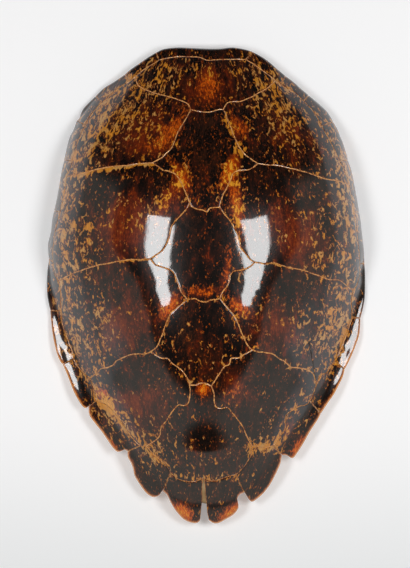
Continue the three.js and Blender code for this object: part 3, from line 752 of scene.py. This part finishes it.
def boneDome(name, outlinePoints, node, material):
    b, spokes = bone, bone["spokes"]
    angles = np.linspace(0, 2 * math.pi, spokes, endpoint=False)
    rimAngles = np.array([math.atan2(y - dome["apexY"], x) for x, y in outlinePoints])
    rimReaches = np.array([math.hypot(x, y - dome["apexY"]) for x, y in outlinePoints])
    order = np.argsort(rimAngles)
    reach = np.interp((angles + math.pi) % (2 * math.pi) - math.pi, rimAngles[order], rimReaches[order],
                      period=2 * math.pi)
    reach = np.min([np.roll(reach, k) for k in range(-3, 4)], axis=0)  # inside every notch
    reach = np.mean([np.roll(reach, k) for k in range(-2, 3)], axis=0)
    ways = np.stack([np.cos(angles), np.sin(angles)], axis=-1)

    def planOf(r):
        return ways[:, 0] * r, dome["apexY"] + ways[:, 1] * r

    turn = tailTurn(*planOf(reach))
    lift = eased(dome["rimLift"], turn)
    solid = eased(dome["solidEdge"], turn) + b["hornClearance"]
    edge = reach - solid
    hornEnd = reach - np.maximum(dome["hookWidth"], solid + dome["hookCover"])

    def on(r, depth):  # under the dome's face, square to it
        x, y = planOf(r)
        h = np.maximum(outerHeight(x, y), lift + dome["lipHeight"])
        return np.stack([x, y, h], axis=-1) - squareTo(x, y) * (depth + np.zeros_like(r))[:, None]

    def at(r, z):
        return np.stack([*planOf(r), z], axis=-1)

    sections = [on(share * (edge - b["shoulder"]), b["outerDepth"])
                for share in np.linspace(0, 1, b["outerRings"])]
    edgeFace = on(edge - b["edgeIn"], b["outerDepth"])[:, 2]
    sections += [
        at(edge - b["edgeIn"], np.maximum(edgeFace, lift + b["edgeTop"])),
        at(edge, lift + b["edgeHeight"]),
        at(edge - b["soleIn"], lift + b["soleHeight"]),
        at(hornEnd - b["soleIn"], lift + b["soleHeight"]),
        at(hornEnd - b["footIn"], lift + b["footHeight"]),
    ]
    depth = b["outerDepth"] + b["thickness"]
    wallReach = hornEnd - b["wallIn"]
    foot = at(hornEnd - b["footIn"] - b["wallStart"], lift + b["wallHeight"])
    wallTop = on(wallReach, depth + b["wallDeep"])
    for q in rows(b["wallRows"]):
        bulge = math.sin(math.pi * q) * b["wallBulge"]
        sections.append(foot + (wallTop - foot) * q - np.column_stack([ways * bulge, np.zeros_like(reach)]))
    for share in np.linspace(1, 0, b["innerRings"])[1:]:
        inner = share * wallReach
        deeper = b["wallDeep"] * share ** b["deepPower"]
        sections.append(on(inner, depth + deeper + ribRelief(*planOf(inner))))
    table = np.array(sections)  # ring, spoke, xyz
    last = len(sections) - 1
    bm = bmesh.new()
    chain = [bm.verts.new((math.sin(math.pi * k / last), 0, math.cos(math.pi * k / last)))
             for k in range(last + 1)]
    chain[0].co.x = chain[-1].co.x = 0
    edges = [bm.edges.new(pair) for pair in zip(chain, chain[1:])]
    bmesh.ops.spin(bm, geom=chain + edges, cent=(0, 0, 0), axis=(0, 0, 1), dvec=(0, 0, 0),
                   angle=2 * math.pi, steps=spokes, use_merge=True)
    bmesh.ops.remove_doubles(bm, verts=bm.verts, dist=1e-5)
    bmesh.ops.recalc_face_normals(bm, faces=bm.faces)
    co = np.array([v.co for v in bm.verts])
    ring = np.rint(np.arccos(np.clip(co[:, 2], -1, 1)) / math.pi * last).astype(int)
    spoke = np.rint(np.arctan2(co[:, 1], co[:, 0]) / (2 * math.pi) * spokes).astype(int) % spokes
    positions = table[ring, spoke]
    x, y, z = positions.T
    values = {"rib": ribRelief(x, y), "grain": grainAt(x, y, z)}
    return finishPiece(name, bm, positions, values, material, node)


# Materials
def rgb(code):  # from a colour written as on a chart
    parts = [int(code[i:i + 2], 16) / 255 for i in (1, 3, 5)]
    return tuple(p / 12.92 if p <= 0.04045 else ((p + 0.055) / 1.055) ** 2.4 for p in parts) + (1.0,)


class Shading:  # the few kinds of node that the materials are made of
    def __init__(self, tree):
        self.tree = tree

    def fill(self, socket, value):
        if isinstance(value, bpy.types.NodeSocket):
            self.tree.links.new(value, socket)
        else:
            socket.default_value = value

    def add(self, kind, inputs=None, **settings):
        node = self.tree.nodes.new("ShaderNode" + kind)
        for key, value in settings.items():
            setattr(node, key, value)
        for key, value in (inputs or {}).items():
            self.fill(node.inputs[key], value)
        return node

    def attribute(self, name, output="Fac"):
        return self.add("Attribute", attribute_name=name).outputs[output]

    def split(self, vector):
        return self.add("SeparateXYZ", {0: vector}).outputs

    def times(self, a, b):
        return self.add("Math", {0: a, 1: b}, operation="MULTIPLY").outputs[0]

    def minus(self, a, b):
        return self.add("Math", {0: a, 1: b}, operation="SUBTRACT").outputs[0]

    def timesPlus(self, a, b, c):
        return self.add("Math", {0: a, 1: b, 2: c}, operation="MULTIPLY_ADD").outputs[0]

    def step(self, value, low, high, outLow=0.0, outHigh=1.0):  # smooth
        return self.add("MapRange", {0: value, 1: low, 2: high, 3: outLow, 4: outHigh},
                        interpolation_type="SMOOTHSTEP").outputs[0]

    def blend(self, share, a, b):
        return self.add("Mix", {0: share, 6: a, 7: b}, data_type="RGBA").outputs[2]

    def noise(self, vector, scale, detail, rough, distort=0.0):
        return self.add("TexNoise", {"Vector": vector, "Scale": scale, "Detail": detail,
                                     "Roughness": rough, "Distortion": distort}).outputs["Fac"]

    def surface(self, inputs, height=None, strength=0.0, distance=0.0):
        if height is not None:
            bump = self.add("Bump", {"Strength": strength, "Distance": distance, "Height": height}).outputs[0]
            inputs["Normal"] = bump
            if "Coat Weight" in inputs:
                inputs["Coat Normal"] = bump
        shader = self.add("BsdfPrincipled", inputs)
        self.add("OutputMaterial", {"Surface": shader.outputs[0]})


def newMaterial(name):
    material = bpy.data.materials.new(name)
    material.use_nodes = True
    material.node_tree.nodes.clear()
    return material, Shading(material.node_tree)


horn = {
    "deep": "#0d0705",
    "dark": "#21110a",
    "brown": "#40200f",
    "red": "#702507",
    "rust": "#8e3c0a",
    "ember": "#962f05",
    "fire": "#dd5f08",
    "gold": "#f2a62c",
    "amber": "#d48a28",
    "tan": "#cc9650",
    "seam": "#eab068",
    "wornOrange": "#bb5c18",
    "wornTan": "#e39a50",
    # waves per mm across, along and up from the growth lines; shift; detail, roughness, distortion
    "noises": {
        "slow": ((0.022, 0.013, 0.02), (0, 0, 0), 4, 0.6, 0),
        "cloud": ((0.07, 0.03, 0.05), (5, 2, 9), 5, 0.65, 0.3),
        "fleck": ((0.135, 0.085, 0.11), (31, 7, 0), 5, 0.6, 0.8),
        "grit": ((0.34, 0.2, 0.2), (3, 17, 0), 4, 0.65, 0.3),
        "hair": ((1.3, 0.05, 0.3), (0, 0, 0), 2, 0.5, 0),
        "tint": ((0.05, 0.05, 0.05), (11, 3, 4), 2, 0.55, 0),
    },
    # each layer of colour: the values where it starts and where it is full, and the most of it that shows
    "layers": {
        "clouds": (0.4, 0.62, 1, "dark"),
        "streaks": (0.55, 0.75, 1, "brown"),
        "redGlow": (0.5, 1.0, 0.5, "red"),
        "emberGlow": (0.62, 1.15, 0.85, "ember"),
        "warmRed": (0.06, 0.22, 1, "red"),
        "warmRust": (0.22, 0.38, 1, "rust"),
        "flameRust": (0.12, 0.24, 1, "rust"),
        "flameFire": (0.21, 0.33, 1, "fire"),
        "flameGold": (0.4, 0.58, 1, "gold"),
        "fleckTan": (0.42, 0.6, 1, "tan"),
        "fleckGold": (0.25, 0.8, 0.7, "gold"),
        "fleckRim": (-0.04, 0.0, 0.75, "rust"),
        "seamRim": (1.3, 0.5, 0.7, "rust"),
        "seamLine": (0.6, 0.1, 1, "seam"),
    },
    "wornLayers": {"wornOrange": (5.5, 1.0), "wornTan": (2.2, 0.2)},  # mm in from the rim
    "fleckStep": (0.0, 0.022),
    "rareFlecks": 0.615,  # noise level of the flecks where they are rare
    "fleckGain": 0.13,
    "fringeLevel": 0.6,  # where a ragged fringe starts, and its share of the flecks
    "fringeShare": 0.35,
    "fringeSpikes": 2.6,
    "warmGain": 0.26,
    "fireGain": 0.34,
    "brokenLevel": 1.02,
    "lickedLevel": 1.05,
    "hairStep": (0.25, 0.75, 0.66, 1.2),  # fine lighter and darker lines
    "wornFrom": 0.42,  # the edge is worn from the tail to here, as a share of the turn to the head
    "wornFull": 0.3,
    "wornRagged": 9.0,
    "seamRagged": 3.4,
    "roughness": 0.3,
    "underGloss": 0.15,
    "coatRoughness": 0.04,
    "coatIor": 1.58,
    "bumpStrength": 0.15,
    "bumpDepth": 0.0004,
}


def hornMaterial(name, worn):
    material, sh = newMaterial(name)
    grain = sh.attribute("grain", "Vector")
    fire, warm, thick = sh.split(sh.attribute("zones", "Vector"))
    _, turn, fringe = sh.split(sh.attribute("place", "Vector"))
    # everything is drawn along the growth lines, in mm
    waves = {}
    for key, (scale, shift, detail, rough, distort) in horn["noises"].items():
        lines = sh.add("Mapping", {"Vector": grain, "Scale": scale, "Location": shift}).outputs[0]
        waves[key] = sh.noise(lines, 1.0, detail, rough, distort)
    cloud, fleck, grit = waves["cloud"], waves["fleck"], waves["grit"]
    ragged = sh.minus(grit, 0.5)

    def layer(under, key, value):
        start, full, most, colour = horn["layers"][key]
        return sh.blend(sh.step(value, start, full, 0.0, most), under, rgb(horn[colour]))

    # dark ground with brown and red-brown clouds
    colour = layer(rgb(horn["deep"]), "clouds", cloud)
    colour = layer(colour, "streaks", sh.timesPlus(waves["slow"], 0.6, sh.times(grit, 0.5)))
    colour = layer(colour, "redGlow", sh.timesPlus(warm, 0.5, cloud))
    colour = layer(colour, "emberGlow", sh.timesPlus(fire, 0.6, cloud))
    broken = sh.timesPlus(grit, 0.9, sh.minus(cloud, horn["brokenLevel"]))
    warmth = sh.timesPlus(warm, horn["warmGain"], broken)
    for key in ("warmRed", "warmRust"):
        colour = layer(colour, key, warmth)
    # glowing orange beside the midline
    licked = sh.timesPlus(grit, 1.2, sh.timesPlus(fleck, 0.9, -horn["lickedLevel"]))
    flame = sh.timesPlus(fire, horn["fireGain"], licked)
    for key in ("flameRust", "flameFire", "flameGold"):
        colour = layer(colour, key, flame)
    # flecks, each with a rusty rim
    rarity = sh.timesPlus(thick, -horn["fleckGain"], horn["rareFlecks"])
    excess = sh.minus(sh.timesPlus(grit, 0.3, sh.times(fleck, 0.7)), rarity)
    spiky = sh.timesPlus(sh.minus(fleck, 0.5), horn["fringeSpikes"], fringe)
    spiky = sh.times(sh.minus(spiky, horn["fringeLevel"]), horn["fringeShare"])
    excess = sh.add("Math", {0: excess, 1: spiky}, operation="MAXIMUM").outputs[0]
    fleckColour = layer(rgb(horn["amber"]), "fleckTan", sh.timesPlus(fire, -0.4, waves["tint"]))
    fleckColour = layer(fleckColour, "fleckGold", fire)
    colour = layer(colour, "fleckRim", excess)
    colour = sh.blend(sh.step(excess, *horn["fleckStep"]), colour, fleckColour)
    dim = sh.step(waves["hair"], *horn["hairStep"])
    grey = sh.add("CombineXYZ", {0: dim, 1: dim, 2: dim}).outputs[0]
    colour = sh.add("VectorMath", {0: colour, 1: grey}, operation="MULTIPLY").outputs[0]
    if worn:  # a paler, translucent outer edge
        fromRim = sh.timesPlus(ragged, horn["wornRagged"], sh.attribute("rim"))
        rear = sh.step(turn, horn["wornFrom"], horn["wornFull"])
        for key, (start, full) in horn["wornLayers"].items():
            colour = sh.blend(sh.times(sh.step(fromRim, start, full), rear), colour, rgb(horn[key]))
    fromSeam = sh.timesPlus(ragged, horn["seamRagged"], sh.attribute("seam"))
    for key in ("seamRim", "seamLine"):
        colour = layer(colour, key, fromSeam)
    sh.surface({
        "Base Color": colour, "Roughness": horn["roughness"], "IOR": 1.5,
        "Specular IOR Level": horn["underGloss"], "Coat Weight": 1.0,
        "Coat Roughness": horn["coatRoughness"], "Coat IOR": horn["coatIor"]},
        sh.timesPlus(waves["hair"], 0.25, sh.times(fleck, 0.5)), horn["bumpStrength"], horn["bumpDepth"])
    return material


boneLook = {
    "brown": "#a8865a",
    "pale": "#cbb083",
    "rib": "#dcc8a0",
    "pore": "#7d6140",
    "cloudsPerMetre": 18.0,
    "poresPerMetre": 420.0,
    "ribStep": (0.4, 2.2, 0.0, 0.6),  # mm above the dome, and how much paler
    "poreStep": (0.6, 0.75, 0.0, 0.5),
    "roughness": 0.6,
    "bumpStrength": 0.4,
    "bumpDepth": 0.0008,
}


def boneMaterial():
    material, sh = newMaterial("dry bone")
    spot = sh.add("TexCoord").outputs["Object"]
    slow = sh.noise(spot, boneLook["cloudsPerMetre"], 4.0, 0.55)
    pores = sh.noise(spot, boneLook["poresPerMetre"], 3.0, 0.7)
    colour = sh.blend(sh.step(slow, 0.35, 0.65), rgb(boneLook["brown"]), rgb(boneLook["pale"]))
    colour = sh.blend(sh.step(sh.attribute("rib"), *boneLook["ribStep"]), colour, rgb(boneLook["rib"]))
    colour = sh.blend(sh.step(pores, *boneLook["poreStep"]), colour, rgb(boneLook["pore"]))
    sh.surface({"Base Color": colour, "Roughness": boneLook["roughness"]},
               pores, boneLook["bumpStrength"], boneLook["bumpDepth"])
    return material


backHorn = hornMaterial("dark back horn", False)
flankHorn = hornMaterial("mottled flank horn", False)
edgeHorn = hornMaterial("worn edge horn", True)
dryBone = boneMaterial()
print("materials made")


# Seams as smooth curves that both neighbours share
def smoothSeam(points):
    return [wander(p) for p in curveThrough(points)]


def backwards(curve):
    return curve[::-1]


mid = {key: smoothSeam(points) for key, points in midSeams.items()}
sides = {}
for side, seams in sideSeams.items():
    edges = seams["edge"]
    smooth = {key: smoothSeam(points) for key, points in seams.items() if key != "edge"}
    smooth["edge"] = smoothSeam([p for row in edges for p in row])
    smooth["corners"] = [wander(p) for p in (edges[0][0], *(row[-1] for row in edges))]
    sides[side] = smooth

left, right = sides["left"], sides["right"]
largeOutlines = {
    "vertebral_scute_1": joined(
        mid["nuchal"], stretch(right["edge"], right["corners"][0], right["v1c1"][0]), right["v1c1"],
        backwards(mid["v1v2"]), backwards(left["v1c1"]),
        backwards(stretch(left["edge"], left["corners"][0], left["v1c1"][0]))),
    "vertebral_scute_5": joined(
        mid["v4v5"], right["v5c4"], stretch(right["edge"], right["v5c4"][-1], right["corners"][-1]),
        backwards(mid["tail"]), backwards(stretch(left["edge"], left["v5c4"][-1], left["corners"][-1])),
        backwards(left["v5c4"])),
}
crossings = [mid["v1v2"], mid["v2v3"], mid["v3v4"], mid["v4v5"]]
for i in (2, 3, 4):
    largeOutlines[f"vertebral_scute_{i}"] = joined(
        crossings[i - 2], right[f"v{i}c{i - 1}"], right[f"v{i}c{i}"],
        backwards(crossings[i - 1]), backwards(left[f"v{i}c{i}"]), backwards(left[f"v{i}c{i - 1}"]))
for side, s in sides.items():
    inner = [joined(s["v1c1"], s["v2c1"]), joined(s["v2c2"], s["v3c2"]),
             joined(s["v3c3"], s["v4c3"]), joined(s["v4c4"], s["v5c4"])]
    crossing = [None, s["c1c2"], s["c2c3"], s["c3c4"], None]
    for i in range(4):
        before, after = crossing[i], crossing[i + 1]
        outer = stretch(s["edge"], before[-1] if before else inner[i][0],
                        after[-1] if after else inner[i][-1])
        largeOutlines[f"costal_scute_{i + 1}_{side}"] = joined(
            inner[i], after or [], backwards(outer), backwards(before) if before else [])

# Ragged tan fringes on the tail side of some seams: the part of the seam, and how far they reach
fringes = {
    "costal_scute_2_left": [(left["c1c2"], 11.0)],
    "costal_scute_3_left": [(left["c2c3"][:18], 6.0)],
    "costal_scute_3_right": [(right["c2c3"][:24], 4.0)],
}
for name, outline in largeOutlines.items():
    slot, material = ("back_horn", backHorn) if name.startswith("vertebral") else ("flank_horn", flankHorn)
    largePlate(f"{name}_horn", outline, name, material, fringes.get(name, []))
print("large plates made:", len(largeOutlines))


def lineOf(a, b):
    return [tuple(np.array(a) + (np.array(b) - a) * q) for q in np.linspace(0, 1, rimPlate["endPoints"])]


marginalCount = 11
rimPoints = []
for side, s in sides.items():
    rims = rimEdges[side]
    for i, rim in enumerate([rims[0]] + [[before[-1], *row] for before, row in zip(rims, rims[1:])]):
        rimCurve = curveThrough(rim, rimPlate["rimStep"])
        rimPoints += rimCurve
        if i < marginalCount:
            seam = stretch(s["edge"], s["corners"][i], s["corners"][i + 1])
            sideB = lineOf(seam[-1], rimCurve[-1])
            name = f"marginal_scute_{i + 1}_{side}"
        else:
            seam = mid["tail"] if side == "left" else backwards(mid["tail"])
            seam = stretch(seam, s["corners"][-1], wander(tailNotch))
            sideB = curveThrough([seam[-1], *notchSides[side], rimCurve[-1]], rimPlate["notchStep"])
            name = f"supracaudal_scute_{side}"
        sideA = lineOf(seam[0], rimCurve[0])
        edgePlate(f"{name}_horn", seam, rimCurve, sideA, sideB, name, edgeHorn)
rimCurve = curveThrough(nuchalRim, rimPlate["rimStep"])
rimPoints += rimCurve
seam = mid["nuchal"]
edgePlate("nuchal_scute_horn", seam, rimCurve, lineOf(seam[0], rimCurve[0]), lineOf(seam[-1], rimCurve[-1]),
          "nuchal_scute", edgeHorn)
print("edge plates made")

boneDome("bony_carapace_bone", rimPoints, "bony_carapace", dryBone)
print("bone made")


# Table, lights and camera, in metres
studio = {
    "cameraPlace": (-0.0015, 0.00225, 5.0),
    "frameHeight": 0.852,  # of the view at the rim
    "rimHeight": 0.007,
    "sensor": 36.0,
    "softboxes": [  # across, along, up, width, length, degrees turned, watts
        (-0.98, 0.09, 1.97, 0.5, 0.87, -7, 17.0),
        (1.02, 0.09, 1.95, 0.62, 0.87, 7, 19.5)],
    "tableSize": 8.0,  # half of its width
    "table": "#f0f1f3",
    "tableShadeColour": "#dadddf", # painted shade on the table towards the tail, between these two distances
    "tableShadeStep": (-0.5, -0.15),
    "glow": (1.0, 4.0, 0.255, 0.4),  # distances from the middle, and the light from below there
    "roomColour": (1.0, 0.935, 0.84, 1),
    "room": 0.02,
    "card": 0.43,  # pale walls all round, but for the head side
    "cardUp": (0.62, 0.48),
    "cardAhead": (0.7, 0.3),
    "tailCard": (-0.2, -0.8, 1.0, 1.4),  # brighter towards the tail
}
scene = bpy.context.scene
tableMesh = bpy.data.meshes.new("table top")
bm = bmesh.new()
bmesh.ops.create_grid(bm, x_segments=1, y_segments=1, size=studio["tableSize"])
bm.to_mesh(tableMesh)
bm.free()
tableMaterial, sh = newMaterial("pale table")
spot = sh.add("TexCoord").outputs["Object"]
# painted shade: the table's colour darkens towards the tail
tableShade = sh.step(sh.split(spot)[1], *studio["tableShadeStep"])
tableColour = sh.blend(tableShade, rgb(studio["tableShadeColour"]), rgb(studio["table"]))
away = sh.add("VectorMath", {0: spot}, operation="LENGTH").outputs["Value"]
sh.surface({"Base Color": tableColour, "Roughness": 0.7, "Emission Color": (1, 1, 1, 1),
            "Emission Strength": sh.step(away, *studio["glow"])})
tableMesh.materials.append(tableMaterial)
floor = placed("table top", tableMesh)

for across, along, up, width, length, turned, power in studio["softboxes"]:
    lamp = bpy.data.lights.new("softbox", "AREA")
    lamp.shape = "RECTANGLE"
    lamp.size, lamp.size_y, lamp.energy = width, length, power
    softbox = placed("softbox", lamp)
    place = Vector((across, along, up))
    facing = place.normalized()
    sideways = Vector((0, 1, 0)).cross(facing).normalized()
    aim = Matrix((sideways, facing.cross(sideways), facing)).transposed().to_4x4()
    softbox.matrix_world = Matrix.Translation(place) @ aim @ Matrix.Rotation(math.radians(turned), 4, "Z")

world = bpy.data.worlds.new("room")  # dark, with pale walls
world.use_nodes = True
sh = Shading(world.node_tree)
background = world.node_tree.nodes["Background"]
_, ahead, up = sh.split(sh.add("TexCoord").outputs["Generated"])
card = sh.times(sh.step(up, *studio["cardUp"]), sh.step(ahead, *studio["cardAhead"]))
card = sh.times(card, sh.step(ahead, *studio["tailCard"]))
sh.fill(background.inputs["Strength"], sh.timesPlus(card, studio["card"], studio["room"]))
sh.fill(background.inputs["Color"], studio["roomColour"])
scene.world = world

camera = placed("camera", bpy.data.cameras.new("camera"))
camera.location = studio["cameraPlace"]
camera.data.sensor_width = studio["sensor"]
camera.data.lens = studio["sensor"] * (camera.location.z - studio["rimHeight"]) / studio["frameHeight"]
scene.camera = camera
scene.view_settings.view_transform = "Standard"
print("studio made")
